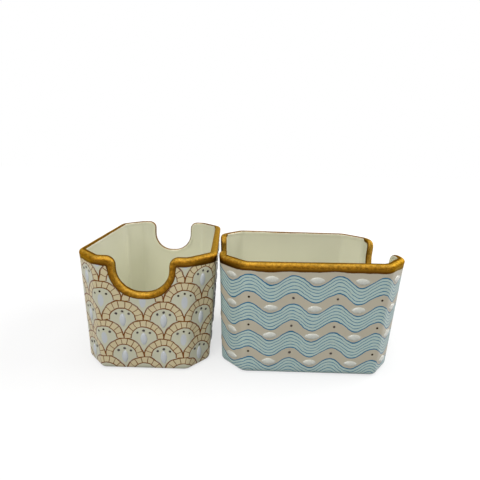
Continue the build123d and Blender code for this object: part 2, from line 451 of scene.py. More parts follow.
def holder_place(holder):
    """Matrix that puts a holder built about its own middle where the frame has it."""
    low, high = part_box(f"{holder}_gilt_rim")
    turn = math.pi / 2 if high.y - low.y > high.x - low.x else 0
    middle = (low + high) / 2
    return Matrix.Translation((middle.x, middle.y, 0)) @ Matrix.Rotation(turn, 4, "Z")


def holder_shape(scene, holder):
    """Shape of a holder as the scene's settings give it."""
    form = scene.holder_form
    return HolderShape(form, scene.holder_decor, form.front_sag if holder == "blue" else 0.0)


def add_object(name, mesh):
    thing = bpy.data.objects.new(name, mesh)
    bpy.context.scene.collection.objects.link(thing)
    return thing


def hand_over(thing, holder, piece):
    """Puts a finished piece on its holder's body in place of the frame's own node."""
    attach(thing, f"{holder}_holder")
    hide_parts(f"{holder}_{piece}")


def opaque(tint):
    """Colour with full alpha, or the wire that already carries one."""
    return tint if isinstance(tint, Wire) else (*tint, 1.0)


class Wire:
    """An output socket. Arithmetic on wires and numbers adds Math nodes to its tree."""

    def __init__(self, socket):
        self.socket = socket

    @staticmethod
    def make(tree, kind, settings=None, inputs=None, output=0):
        """Adds a node, sets it up, fills its sockets with values or wires, and gives back one output."""
        node = tree.nodes.new(kind)
        for name, value in (settings or {}).items():
            setattr(node, name, value)
        for key, value in (inputs or {}).items():
            if isinstance(value, Wire):
                tree.links.new(value.socket, node.inputs[key])
            else:
                node.inputs[key].default_value = value
        return Wire(node.outputs[output]) if node.outputs else None

    def node(self, kind, settings=None, inputs=None, output=0):
        return Wire.make(self.socket.id_data, kind, settings, inputs, output)

    def math(self, operation, *others):
        return self.node("ShaderNodeMath", {"operation": operation}, dict(enumerate((self, *others))))

    def __add__(self, other):
        return self.math("ADD", other)

    def __sub__(self, other):
        return self.math("SUBTRACT", other)

    def __mul__(self, other):
        return self.math("MULTIPLY", other)

    def __truediv__(self, other):
        return self.math("DIVIDE", other)

    def __rsub__(self, other):
        return self.node("ShaderNodeMath", {"operation": "SUBTRACT"}, {0: other, 1: self})

    def __rtruediv__(self, other):
        return self.node("ShaderNodeMath", {"operation": "DIVIDE"}, {0: other, 1: self})

    __radd__ = __add__
    __rmul__ = __mul__

    def step(self, low, high):
        """Smooth step from 0 at low to 1 at high."""
        settings = {"interpolation_type": "SMOOTHSTEP"}
        return self.node("ShaderNodeMapRange", settings, {0: self, 1: low, 2: high})

    def off_nearest(self):
        """How far a value is from the nearest whole number, with its sign."""
        return self - (self + 0.5).math("FLOOR")

    def between(self, low, high):
        """Value that goes from low to high as this goes from 0 to 1."""
        return (high - low) * self + low

    def stain(self, under, over):
        """Colour under, covered by colour over as far as this mask goes."""
        inputs = {0: self, 6: opaque(under), 7: opaque(over)}
        return self.node("ShaderNodeMix", {"data_type": "RGBA"}, inputs, 2)

    def shade(self, tint):
        """Colour tint times this value."""
        settings = {"data_type": "RGBA", "blend_type": "MULTIPLY"}
        return self.node("ShaderNodeMix", settings, {0: 1.0, 6: opaque(tint), 7: self}, 2)

    def split(self):
        """The three parts of a vector."""
        parts = self.node("ShaderNodeSeparateXYZ", None, {0: self}).socket.node
        return [Wire(part) for part in parts.outputs]

    def join(self, *parts):
        """Vector of this and the other parts."""
        return self.node("ShaderNodeCombineXYZ", None, dict(enumerate((self, *parts))))

    def vector(self, operation, inputs, output=0):
        """Vector maths on this and the inputs after it."""
        return self.node("ShaderNodeVectorMath", {"operation": operation}, {0: self, **inputs}, output)


class Finish:
    """A material under way: its tree, its shader, and the wires that most finishes start from."""

    def __init__(self, name, **constants):
        self.material = bpy.data.materials.new(name)
        self.material.use_nodes = True
        self.tree = self.material.node_tree
        self.shader = self.tree.nodes["Principled BSDF"]
        for socket, value in constants.items():
            self.shader.inputs[socket.replace("_", " ")].default_value = value
        self.spot = Wire.make(self.tree, "ShaderNodeTexCoord", output=3)

    def attribute(self, name, output=2):
        return Wire.make(self.tree, "ShaderNodeAttribute", {"attribute_name": name}, output=output)

    def grain(self, scale, detail=2.0, roughness=0.5, output=0):
        """Noise over the piece, with so many spots to the metre."""
        inputs = {"Vector": self.spot, "Scale": scale, "Detail": detail, "Roughness": roughness}
        return self.spot.node("ShaderNodeTexNoise", None, inputs, output)

    def feed(self, **wires):
        for name, wire in wires.items():
            self.tree.links.new(wire.socket, self.shader.inputs[name.replace("_", " ")])

    def relief(self, height, depth):
        """Bump of a height that goes from 0 to 1, in metres of depth."""
        bump = height.node("ShaderNodeBump", None, {"Strength": 1.0, "Distance": depth, "Height": height})
        self.feed(Normal=bump)


def ink(distance, half_width):
    """Mask of a painted line, from the distance to its middle and half its width."""
    return 1 - distance.step(half_width - LINE_BLUR, half_width + LINE_BLUR)


def painted_wall(name, shape, colours, paint):
    """Outer wall: painted ground under satin glaze, with gold strayed down from the rim, and painted
    shade near the table and along the gold's lower edge.
    """
    finish = Finish(
        name, IOR=1.4, Specular_IOR_Level=0.2, Specular_Tint=GOLD_EDGE, Coat_Roughness=0.16, Coat_IOR=1.45
    )
    column, height, rim = finish.attribute("decor", output=1).split()
    *sway, tone_sway = finish.grain(150, 1.5, output=1).split()
    tremor = finish.grain(480, 1.0) - 0.5
    still = (column, height)
    hand = [
        spot + (off - 0.5) * far + tremor * fine
        for spot, off, far, fine in zip(still, sway, HAND_SWAY, HAND_TREMOR)
    ]
    load = finish.grain(420, 3.0, 0.6)  # how much paint the brush carried
    tint, lines = paint(shape, colours, hand, still, load, tone_sway)
    cloud = finish.grain(60, 3.0, 0.55).between(0.93, 1.06)
    fleck = finish.grain(2600, 1.0).step(0.66, 0.8) * 0.06
    tint = (cloud - fleck).shade(tint)
    # painted shade: the wall darkens towards the table where it stands
    tint = height.step(*FOOT_PAINTED_SHADE).between(0.74, 1.0).shade(tint)
    stray = (finish.grain(60, 1.0) - 0.5) * 2 + (finish.grain(420, 1.0) - 0.5) * 0.25
    reach = 1 + stray * shape.decor.gold_sway
    gold = 1 - (rim - reach).step(-0.08, 0.08)
    brush = finish.grain(900, 3.0, 0.6)
    # darker towards the lower edge of the gold on the wall: partly thinner lustre, partly painted shade
    # carried on from the bead's underside
    thinning_and_painted_shade = (rim / reach + (brush - 0.5) * 0.9).step(-0.55, 1.0)
    leaf = thinning_and_painted_shade.stain(brush.step(0.3, 0.7).between(0.62, 1.3).shade(colours.gold), colours.gold_thin_and_painted_shade)
    tint = gold.stain(tint, leaf)
    rough = finish.grain(300, 3.0).between(0.30, 0.42) - lines * 0.06
    finish.feed(Base_Color=tint, Metallic=gold, Roughness=rough, Coat_Weight=(1 - gold) * 0.08)
    finish.relief(lines * 0.45 + finish.grain(900, 2.0) * 0.35 + gold * 0.4, 0.00004)
    return finish.material


def from_spot(x, y):
    """Distance of a spot from the point that x and y are measured from."""
    return (x * x + y * y).math("SQRT")


def scale_row(decor, column, height):
    """For a spot: its column in its staggered row, across and up from its scale, and whether on it."""
    row = (height - decor.scale_first) / decor.scale_pitch
    row_floor = row.math("FLOOR")
    rise = row - row_floor
    column = column - (row_floor * 0.5).math("FRACT")
    across = column.off_nearest() * 2
    on_arch = 1 - from_spot(across, rise).step(0.985, 1.015)
    return column, across, rise, on_arch


def own_scale(decor, column, height):
    """Across and up from the middle of the scale that a spot lies on, in radii."""
    column, across, rise, on_arch = scale_row(decor, column, height)
    above = (column - 0.5).off_nearest() * 2
    return on_arch.math("MULTIPLY_ADD", across - above, above), on_arch + (rise - 1)


def scale_paint(shape, colours, hand, still, load, sway):
    """Staggered scales: ribbed tan arches in coral lines on pale ground, with a grain and three dots."""
    decor = shape.decor
    radius = decor.scale_pitch
    _, across, rise, on_arch = scale_row(decor, *hand)
    reach = from_spot(across, rise)
    ribs = rise.math("ARCTAN2", across) * (SCALE_RIBS / math.pi)
    rib_gap = ribs.off_nearest().math("ABSOLUTE") * reach * (radius * math.pi / SCALE_RIBS)
    band = on_arch * reach.step(SCALE_ARCH - 0.01, SCALE_ARCH + 0.01)
    outline = ink((reach - 1).math("ABSOLUTE") * radius, decor.line_width)
    inner = ink((reach - SCALE_ARCH).math("ABSOLUTE") * radius, decor.line_width * 0.8) * on_arch
    rib_line = ink(rib_gap, decor.hair_width) * band
    fine = rib_line * load.step(0.28, 0.5).between(0.6, 1.0)
    bold = outline.math("MAXIMUM", inner) * load.step(0.22, 0.45).between(0.76, 1.0)
    lines = bold.math("MAXIMUM", fine)
    wash = band * load.between(0.55, 1.0)
    tint = wash.stain(colours.coral_ground, colours.coral_wash)
    tint = lines.stain(tint, sway.between(0.82, 1.12).shade(colours.coral_line))
    x, y = (part * radius for part in own_scale(decor, *still))
    oval = from_spot(x / (decor.grain_width / 2), y / (decor.grain_length / 2))
    side = decor.scale_dot_reach * math.sin(decor.scale_dot_fan)
    low = decor.scale_dot_reach * math.cos(decor.scale_dot_fan)
    to_side = from_spot(x.math("ABSOLUTE") - side, y - low)
    to_dot = to_side.math("MINIMUM", from_spot(x, y - decor.scale_dot_reach))
    enamels = (colours.cool_white, colours.dark_dot)
    return enamel_paint(shape, tint, oval, to_dot, still[1], *enamels), lines


def enamel_paint(shape, tint, oval, to_dot, height, white, dark):
    """Thin enamel under the raised drops, and alone where a drop wouldn't lie flat."""
    above_foot = height.step(shape.form.foot_round, shape.form.foot_round + 0.001)
    tint = ((1 - oval.step(0.6, 1.35)) * 0.4).stain(tint, white)
    tint = (1 - oval.step(0.8, 1.0)).stain(tint, white)
    return (ink(to_dot, shape.decor.dot_diameter * FLAT_DOT) * above_foot).stain(tint, dark)


def wave_paint(shape, colours, hand, still, load, sway):
    """Level ribbons of pale blue combed with fine wavy lines, and grains and dots between them."""
    decor = shape.decor
    column, height = hand
    swell = (column * math.tau).math("COSINE") * decor.wave_height
    phase = (height - decor.wave_first + swell) / decor.wave_pitch
    off_band = phase.off_nearest().math("ABSOLUTE") * decor.wave_pitch
    band_half = decor.wave_band * decor.wave_pitch / 2
    ribbon_half = decor.wave_pitch / 2 - band_half
    top_band = len(rows(decor.wave_first, decor.wave_pitch, shape.rim_line)) - 1
    into = off_band - band_half
    below_rim = 1 - phase.step(top_band, top_band + 0.05)
    ribbon = into.step(-0.0001, 0.0001) * below_rim
    edge = ink(into.math("ABSOLUTE"), decor.line_width * 0.95) * below_rim
    across = (phase - 0.5).off_nearest() * decor.wave_pitch + ribbon_half
    combed = across * (decor.ribbon_lines / (2 * ribbon_half))
    comb_gap = combed.off_nearest().math("ABSOLUTE") * (2 * ribbon_half / decor.ribbon_lines)
    comb = ink(comb_gap, decor.hair_width) * ribbon
    fine = comb * load.step(0.26, 0.52).between(0.5, 1.0)
    lines = (edge * load.step(0.2, 0.45).between(0.75, 1.0)).math("MAXIMUM", fine)
    wash = ribbon * load.between(0.7, 1.0)
    tint = wash.stain(colours.blue_ground, colours.blue_wash)
    tint = lines.stain(tint, sway.between(0.8, 1.2).shade(colours.blue_line))

    def from_row(shift, rise):
        """Across and up to a spot from the nearest of a row of drops, that far off the bands' middles."""
        column, height = still
        up = (height - decor.wave_first - rise) / decor.wave_pitch
        return (column - shift).off_nearest() * COLUMN_WIDTH, up.off_nearest() * decor.wave_pitch

    x, y = from_row(0.0, -decor.wave_height)
    oval = from_spot(x / (decor.grain_length / 2), y / (decor.grain_width / 2))
    to_dot = from_spot(*from_row(0.5, decor.wave_height))
    enamels = (colours.warm_white, colours.dark_dot)
    return enamel_paint(shape, tint, oval, to_dot, still[1], *enamels), lines


def inside_glaze(colours):
    """Clear glossy glaze over cream clay, pooled a little darker in places."""
    finish = Finish("cream_inside_glaze", IOR=1.5, Coat_Roughness=0.06, Coat_IOR=1.5)
    cloud = finish.grain(38, 3.0, 0.5).between(0.93, 1.05)
    speck = finish.grain(1900, 1.0).step(0.68, 0.8) * 0.05
    tint = (cloud - speck).shade(colours.inside)
    finish.feed(
        Base_Color=tint,
        Roughness=finish.grain(120, 2.0).between(0.16, 0.26),
        Coat_Weight=finish.grain(70, 2.0).between(0.35, 0.55),
    )
    finish.relief(finish.grain(260, 2.0), 0.00005)
    return finish.material


def bare_foot(colours):
    """Unglazed foot ring, scuffed where it stands."""
    finish = Finish("bare_clay_foot", IOR=1.45)
    scuff = finish.grain(900, 4.0, 0.65)
    tint = scuff.between(0.8, 1.08).shade(colours.bare_clay)
    finish.feed(Base_Color=tint, Roughness=scuff.between(0.7, 0.92))
    finish.relief(scuff, 0.00006)
    return finish.material


def gilt_lustre(colours):
    """Gold lustre brushed over the outside and top of the bead, cream glaze on its inner side, with a
    painted highlight near the top and painted shade below and along the top inner edge.
    """
    finish = Finish("brushed_gold_lustre", IOR=1.5, Coat_Roughness=0.08, Specular_Tint=GOLD_EDGE)
    outness, upness = finish.attribute("outness"), finish.attribute("upness")
    section = upness.math("ARCTAN2", outness) * (180 / math.pi)
    # 0 outward, 90 on top, 180 inside, 270 below
    section = section + section.math("LESS_THAN", -90) * 360
    lapped = finish.attribute("lap") * section.step(70, 120)
    section = section - lapped * GOLD_LAP
    brush = finish.grain(650, 3.0, 0.6)
    sweep = finish.grain(70, 2.0)
    edge = section + (sweep - 0.5) * 36 + (brush - 0.5) * 40
    inner_edge = section + (sweep - 0.5) * 14 + (brush - 0.5) * 10
    bare = inner_edge.step(140, 146)
    # painted highlight: a lighter band of gold over the bead's upper front
    painted_highlight_band = edge.step(18, 54) * (1 - edge.step(76, 98))
    # painted shade: the bead's underside darker
    low = 1 - edge.step(-46, 38)
    # darker band along the bead's top inner edge: partly a thin lustre edge, partly painted shade where
    # the top turns away
    top = edge.step(92, 104) * (1 - edge.step(114, 128) * 0.4)
    streak = brush.step(0.3, 0.7).between(0.58, 1.2)
    painted_highlight_gold = streak.between(0.4, 1.0).shade(colours.gold_painted_highlight)
    leaf = (painted_highlight_band * 0.5).stain(streak.shade(colours.gold), painted_highlight_gold)
    # painted shade from the underside and the top inner edge, and darker where the gold laps over the
    # inner side
    thinning_and_painted_shade = (low * 0.6).math("MAXIMUM", top * 0.95).math("MAXIMUM", lapped * 0.3)
    leaf = thinning_and_painted_shade.stain(leaf, colours.gold_thin_and_painted_shade)
    worn = finish.grain(1700, 2.0).step(0.52, 0.68) * 0.5
    leaf = worn.stain(leaf, colours.gold_thin_and_painted_shade)
    finish.feed(
        Base_Color=bare.stain(leaf, colours.inside),
        Metallic=1 - bare,
        Roughness=bare.between(brush.between(0.46, 0.64), 0.2),
        Coat_Weight=bare * 0.4,
    )
    finish.relief(brush * 0.7 + finish.grain(2600, 1.0) * 0.3, 0.00006)
    return finish.material


def drop_enamel(name, tint, tones, dull):
    """Enamel laid on thick, a little uneven in tone."""
    finish = Finish(name, IOR=1.5, Coat_Weight=0.5 - dull, Coat_Roughness=0.08)
    cloud = finish.grain(700, 2.0)
    tint = cloud.between(*tones).shade(tint)
    finish.feed(Base_Color=tint, Roughness=cloud.between(dull, dull + 0.14))
    finish.relief(finish.grain(1500, 2.0), 0.00004)
    return finish.material


def wander(point, amount, seed):
    """Small smooth push in or out, the same for the same point."""
    x, y, z = (part * scale for part, scale in zip(point, WANDER_SCALE))
    return amount * noise.noise(Vector((x, y, z + seed)))


def swelled(low, top, rise, facing, swell):
    """Ring part of the way up from a low ring to the top one, thickened near the top."""
    ring = []
    for foot, head, way in zip(low, top, facing):
        point = foot.lerp(head, rise)
        near = max(1 - (point - head).length / SWELL_REACH, 0)
        ring.append(point + way * swell * near**2)
    return ring


def shell_rings(shape):
    """Rings of the closed shell from its underside out, up, over the rim and down to the floor."""
    form = shape.form
    outer, inner = form.corner_round, form.inner_corner_round
    hollow = -form.foot_width
    rings = [(shape.ring(hollow, outer, form.foot_recess, squeeze), "foot") for squeeze in (0.5, 1.0)]
    for wider, depth in FOOT_SLOPE:
        rings.append((shape.ring(hollow + wider, outer, form.foot_recess * depth), "foot"))
    for a in spread(math.pi / 2, 0, ROUND_RINGS):
        z = form.foot_round * (1 - math.sin(a))
        growth = shape.lean(z) - form.foot_round * (1 - math.cos(a))
        rings.append((shape.ring(growth, outer + shape.lean(z), z), "foot" if a > BARE_TURN else "wall"))
    path = shape.rim_path()
    out_step = form.side_lean - shape.bead_growth
    in_step = form.wall - out_step
    swell_in = SWELL_FILL * shape.bead_radius - in_step
    swell_out = SWELL_FILL * shape.bead_radius - out_step
    facing = [Vector((outward.x, outward.y, 0)).normalized() for _, outward, _ in path]
    top_out = [point + way * out_step for (point, _, _), way in zip(path, facing)]
    top_in = [point - way * in_step for (point, _, _), way in zip(path, facing)]
    low = rings[-1][0]
    for t in spread(0, 1, WALL_RINGS)[1:]:
        rings.append((swelled(low, top_out, 1 - (1 - t) ** CROWDING, facing, swell_out), "wall"))
    floor = form.floor_top + form.floor_round
    inner_low = shape.ring(shape.lean(floor) - form.wall, inner, floor)
    for t in spread(0, 1, INSIDE_RINGS):
        rings.append((swelled(inner_low, top_in, 1 - t**CROWDING, facing, -swell_in), "inside"))
    for a in spread(0, math.pi / 2, ROUND_RINGS)[1:]:
        z = floor - form.floor_round * math.sin(a)
        growth = shape.lean(floor) - form.wall - form.floor_round * (1 - math.cos(a))
        rings.append((shape.ring(growth, inner, z), "inside"))
    growth = shape.lean(floor) - form.wall - form.floor_round
    for squeeze in FLOOR_SHARES:
        rings.append((shape.ring(growth, inner, form.floor_top, squeeze), "inside"))
    return rings


def ceramic_shell(name, shape, place, seed):
    """Mesh of a holder's shell, with its decoration's columns, heights and distances from the bead."""
    rings = shell_rings(shape)
    around = len(shape.columns)
    path = shape.rim_path()
    tree = kdtree.KDTree(RIM_PARTS * len(path))
    for i, (point, _, _) in enumerate(path):
        for j in range(RIM_PARTS):
            tree.insert(point.lerp(path[(i + 1) % len(path)][0], j / RIM_PARTS), RIM_PARTS * i + j)
    tree.balance()
    points, marks = [], []
    for ring, zone in rings:
        for mesh_column, point in zip(shape.columns, ring):
            nearest, _, gap = tree.find(point)
            off_rim = math.sqrt(max(gap**2 - shape.bead_radius**2, 0))
            column = shape.decor_column(mesh_column, point) if zone == "wall" else 0.0
            marks.append((column, point.z, off_rim / shape.gold_reach(nearest.z)))
            if zone != "foot":
                above_foot = max((point.z - STILL_FOOT) / WANDER_FADE, 0)
                away = min(off_rim / WANDER_FADE, 1) * min(above_foot, 1)
                outward = Vector((point.x, point.y, 0)).normalized()
                point = point + outward * wander(point, shape.form.hand_wander, seed) * away
            points.append(point)
    first, last = len(points), len(points) + 1
    points += [Vector((0, 0, rings[0][0][0].z)), Vector((0, 0, rings[-1][0][0].z))]
    marks += [(0.0, points[first].z, FAR_OFF), (0.0, points[last].z, FAR_OFF)]
    faces, zones, turns = [], [], []
    for j in range(around):
        n = (j + 1) % around
        top = (len(rings) - 1) * around
        faces += [(first, n, j), (last, top + j, top + n)]
        zones += [ZONES.index("foot"), ZONES.index("inside")]
        turns += [(0, 0, 0), (0, 0, 0)]
        for i in range(len(rings) - 1):
            a, b = i * around, (i + 1) * around
            faces.append((a + j, a + n, b + n, b + j))
            zones.append(ZONES.index(rings[i + 1][1] if rings[i][1] == "wall" else rings[i][1]))
            turns.append((0, n == 0, n == 0, 0))  # the last column's faces end one whole turn on
    mesh = bpy.data.meshes.new(name)
    mesh.from_pydata([place @ point for point in points], [], faces)
    mesh.polygons.foreach_set("material_index", zones)
    mesh.shade_smooth()
    decor = mesh.attributes.new("decor", "FLOAT_VECTOR", "CORNER")
    values = []
    for face, turn in zip(faces, turns):
        for vertex, turned in zip(face, turn):
            column, z, off_rim = marks[vertex]
            values += [column + shape.column_count * turned, z, off_rim]
    decor.data.foreach_set("vector", values)
    mesh.validate()
    return mesh


def new_tree(name, sockets):
    """Geometry tree with named inputs; gives back the tree and its input wires."""
    tree = bpy.data.node_groups.new(name, "GeometryNodeTree")
    tree.is_modifier = True
    tree.interface.new_socket("Geometry", in_out="OUTPUT", socket_type="NodeSocketGeometry")
    for label, kind in sockets.items():
        tree.interface.new_socket(label, in_out="INPUT", socket_type=f"NodeSocket{kind}")
    start = Wire.make(tree, "NodeGroupInput").socket.node
    wires = {label: Wire(start.outputs[label]) for label in sockets}
    return tree, wires


def close_tree(geometry, material):
    """Ends a tree with smooth, real geometry in its finish."""
    geometry = geometry.node("GeometryNodeRealizeInstances", None, {0: geometry})
    geometry = geometry.node("GeometryNodeSetShadeSmooth", None, {0: geometry})
    inputs = {"Geometry": geometry, "Material": material}
    geometry = geometry.node("GeometryNodeSetMaterial", None, inputs)
    geometry.node("NodeGroupOutput", None, {0: geometry})


def grow(name, start_mesh, tree, values):
    """Object whose plain mesh is what the tree makes of the start mesh."""
    thing = add_object(name, start_mesh)
    modifier = thing.modifiers.new("making", "NODES")
    modifier.node_group = tree
    for item in tree.interface.items_tree:
        if item.item_type == "SOCKET" and item.in_out == "INPUT" and item.name in values:
            modifier[item.identifier] = values[item.name]
    graph = bpy.context.evaluated_depsgraph_get()
    made = bpy.data.meshes.new_from_object(
        thing.evaluated_get(graph), preserve_all_data_layers=True, depsgraph=graph
    )
    thing.modifiers.remove(modifier)
    made.name = name
    thing.data = made
    bpy.data.meshes.remove(start_mesh)
    if not made.polygons:
        raise RuntimeError(f"{name} came out empty")
    return thing


def start_points(name, points, edges, **vectors):
    """Mesh of loose points or a line, each point carrying named vectors."""
    mesh = bpy.data.meshes.new(name)
    mesh.from_pydata(points, edges, [])
    for label, values in vectors.items():
        layer = mesh.attributes.new(label, "FLOAT_VECTOR", "POINT")
        layer.data.foreach_set("vector", [c for v in values for c in v])
    return mesh


def store(geometry, name, value):
    inputs = {"Geometry": geometry, "Name": name, "Value": value}
    return geometry.node("GeometryNodeStoreNamedAttribute", None, inputs)


def named(geometry, name, kind):
    return geometry.node("GeometryNodeInputNamedAttribute", {"data_type": kind}, {"Name": name})


def bead_tree():
    """Round bead swept along a rim line, with its thickness wandering and its section marked."""
    sockets = {
        "Geometry": "Geometry", "Bead Radius": "Float", "Wander": "Float", "Square": "Float",
        "Step": "Float", "Sides": "Int", "Material": "Material",
    }
    tree, wire = new_tree("gilt bead", sockets)
    curve = wire["Geometry"]
    curve = curve.node("GeometryNodeMeshToCurve", None, {"Mesh": curve})
    inputs = {"Curve": curve, "Length": wire["Step"]}
    curve = curve.node("GeometryNodeResampleCurve", {"mode": "LENGTH"}, inputs)
    spot = curve.node("GeometryNodeInputPosition")
    uneven = spot.node("ShaderNodeTexNoise", None, {"Vector": spot, "Scale": 70.0, "Detail": 1.0})
    thickness = wire["Bead Radius"] * (1 + (uneven * 2 - 1) * wire["Wander"])
    inputs = {"Resolution": wire["Sides"], "Radius": 1.0}
    section = curve.node("GeometryNodeCurvePrimitiveCircle", None, inputs)
    bead = curve.node("GeometryNodeCurveToMesh", None, {0: curve, 1: section, 2: thickness})
    normal = bead.node("GeometryNodeInputNormal")
    for label, way in (("outness", "outward"), ("upness", "off_edge")):
        bead = store(bead, label, normal.vector("DOT_PRODUCT", {1: named(bead, way, "FLOAT_VECTOR")}, 1))
    outward, upward = (named(bead, label, "FLOAT") for label in ("outness", "upness"))
    corner = (0 - outward).math("MAXIMUM", 0.0) * upward.math("MAXIMUM", 0.0) * 2
    push = corner * corner * wire["Square"] * wire["Bead Radius"]
    push = normal.vector("SCALE", {"Scale": push})
    bead = bead.node("GeometryNodeSetPosition", None, {"Geometry": bead, "Offset": push})
    close_tree(bead, wire["Material"])
    return tree


def drop_tree():
    """Enamel drop laid at each point, lengthwise along its mark, no two quite alike."""
    sockets = {
        "Geometry": "Geometry", "Length": "Float", "Width": "Float", "Height": "Float", "Seat": "Float",
        "Taper": "Float", "Segments": "Int", "Rings": "Int", "Difference": "Float", "Twist": "Float",
        "Seed": "Int", "Material": "Material",
    }
    tree, wire = new_tree("enamel drop", sockets)
    points = wire["Geometry"]
    ball = points.node("GeometryNodeMeshUVSphere", None, {0: wire["Segments"], 1: wire["Rings"], 2: 0.5})
    spot = ball.node("GeometryNodeInputPosition")
    x, y, z = spot.split()
    narrow = 1 - wire["Taper"] * (x * x * 4)
    raised = z.math("MAXIMUM", 0.0) * 2 * wire["Height"] + z.math("MINIMUM", 0.0) * 2 * wire["Seat"]
    shaped = (x * wire["Length"]).join(y * wire["Width"] * narrow, raised)
    ball = ball.node("GeometryNodeSetPosition", None, {"Geometry": ball, "Position": shaped})
    outward, lengthwise = (named(points, name, "FLOAT_VECTOR") for name in ("outward", "lengthwise"))
    axes = {"primary_axis": "Z", "secondary_axis": "X"}
    turn = outward.node("FunctionNodeAxesToRotation", axes, {0: outward, 1: lengthwise})

    def differ(reach, offset):
        """Random value of a drop, up to reach either way."""
        inputs = {2: 0 - reach, 3: reach, "Seed": wire["Seed"] + offset}
        return reach.node("FunctionNodeRandomValue", {"data_type": "FLOAT"}, inputs, 1)

    twist = differ(wire["Twist"], 0)
    twist = twist.node("ShaderNodeCombineXYZ", None, {2: twist})
    twist = twist.node("FunctionNodeEulerToRotation", None, {0: twist})
    turn = turn.node("FunctionNodeRotateRotation", {"rotation_space": "LOCAL"}, {0: turn, 1: twist})
    first, *others = (1 + differ(wire["Difference"], i) for i in (1, 2, 3))
    sizes = first.join(*others)
    inputs = {"Points": points, "Instance": ball, "Rotation": turn, "Scale": sizes}
    laid = points.node("GeometryNodeInstanceOnPoints", None, inputs)
    close_tree(laid, wire["Material"])
    return tree


def rows(first, pitch, top):
    """Heights of the rows of decoration, up to the rim."""
    return [first + pitch * i for i in range(math.ceil((top - first) / pitch))]


def decor_places(shape, holder):
    """Where the grains and the dots of a holder lie, as (column, height, shift along the wall)."""
    decor = shape.decor
    grains, dots = [], []
    if holder == "coral":
        for i, z in enumerate(rows(decor.scale_first, decor.scale_pitch, shape.rim_line)):
            for column in range(shape.column_count):
                at = column + (i % 2) / 2
                grains.append((at, z, 0.0))
                for turn in (-decor.scale_dot_fan, 0, decor.scale_dot_fan):
                    rise = decor.scale_dot_reach * math.cos(turn)
                    dots.append((at, z + rise, decor.scale_dot_reach * math.sin(turn)))
    else:
        for z in rows(decor.wave_first, decor.wave_pitch, shape.rim_line):
            for column in range(shape.column_count):
                grains.append((column, z - decor.wave_height, 0.0))
                dots.append((column + 0.5, z + decor.wave_height, 0.0))
    return grains, dots


def lay_drops(name, shape, holder, places, upright, tree, values):
    """Object with a drop at each of the places that the wall has room for."""
    form = shape.form
    place = holder_place(holder)
    half_across, half_tall = (values[way] / 2 + shape.decor.drop_margin for way in ("Length", "Width"))
    if upright:
        half_across, half_tall = half_tall, half_across
    notch_side = shape.notch_half + shape.bead_radius
    turn = place.to_3x3()
    spots, outwards, lengths = [], [], []
    for column, z, shift in places:
        if z - half_tall < form.foot_round or z + half_tall > shape.rim_line - shape.bead_radius:
            continue
        spot, outward, level, up, k, run = shape.wall_spot(column, z, shift)
        growth = shape.lean(z)
        room = shape.facet(k, growth)[2] - abs(run) - (form.corner_round + growth) * BEND_TANGENT
        if room < half_across:
            continue
        notch_low = shape.rim_line - shape.notch_depth(k) - shape.bead_radius
        if k in END_FACETS and abs(run) - half_across < notch_side and z + half_tall > notch_low:
            continue
        spots.append(place @ spot)
        outwards.append(turn @ outward)
        lengths.append(turn @ (up if upright else level))
    start = start_points(name + "_spots", spots, [], outward=outwards, lengthwise=lengths)
    return grow(name, start, tree, values)


class HOLDER_OT_ceramic_bodies(bpy.types.Operator):
    """Make the leaning, notched ceramic shells, painted outside and glazed inside"""

    bl_idname = "holder.ceramic_bodies"
    bl_label = "Ceramic bodies"

    def execute(self, context):
        colours = context.scene.holder_colours
        paints = {"coral": scale_paint, "blue": wave_paint}
        cream, clay = inside_glaze(colours), bare_foot(colours)
        for seed, holder in enumerate(HOLDERS):
            shape = holder_shape(context.scene, holder)
            name = f"{holder}_shell"
            mesh = ceramic_shell(name, shape, holder_place(holder), SHELL_SEED_STEP * seed)
            wall = painted_wall(f"{holder}_painted_wall", shape, colours, paints[holder])
            for material in (wall, cream, clay):  # in the order of the zones
                mesh.materials.append(material)
            hand_over(add_object(name, mesh), holder, "body")
        return {"FINISHED"}


class HOLDER_OT_gilt_rims(bpy.types.Operator):
    """Roll the gilt beads along the rims and through the finger notches"""

    bl_idname = "holder.gilt_rims"
    bl_label = "Gilt rims"

    def execute(self, context):
        tree = bead_tree()
        lustre = gilt_lustre(context.scene.holder_colours)
        for holder in HOLDERS:
            shape = holder_shape(context.scene, holder)
            path = shape.rim_path()
            links = [(i, (i + 1) % len(path)) for i in range(len(path))]
            laps = [shape.lap(column, LAPPED_RUNS[holder]) for column in shape.columns]
            values = {
                "Bead Radius": shape.bead_radius, "Wander": shape.form.bead_wander,
                "Square": shape.form.bead_square, "Step": BEAD_STEP, "Sides": BEAD_SIDES,
                "Material": lustre,
            }
            place = holder_place(holder)
            turn = place.to_3x3()
            name = f"{holder}_rolled_rim"
            start = start_points(
                name + "_line", [place @ p for p, _, _ in path], links,
                outward=[turn @ o for _, o, _ in path], off_edge=[turn @ e for _, _, e in path],
                lap=[[lap] * 3 for lap in laps],
            )
            hand_over(grow(name, start, tree, values), holder, "gilt_rim")
        return {"FINISHED"}


class HOLDER_OT_white_grains(bpy.types.Operator):
    """Lay the raised white enamel grains"""

    bl_idname = "holder.white_grains"
    bl_label = "White grains"

    def execute(self, context):
        decor, colours = context.scene.holder_decor, context.scene.holder_colours
        tree = drop_tree()
        values = {
            "Length": decor.grain_length, "Width": decor.grain_width, "Height": decor.grain_height,
            "Seed": decor.seed, **GRAIN_MAKE,
        }
        whites = {"coral": colours.cool_white, "blue": colours.warm_white}
        for holder in HOLDERS:
            values["Material"] = drop_enamel(
                f"{holder}_white_enamel", whites[holder], GRAIN_TONES, GRAIN_DULLNESS[holder]
            )
            shape = holder_shape(context.scene, holder)
            places, _ = decor_places(shape, holder)
            upright = holder == "coral"
            grains = lay_drops(f"{holder}_white_grains", shape, holder, places, upright, tree, values)
            hand_over(grains, holder, "white_enamel")
        return {"FINISHED"}


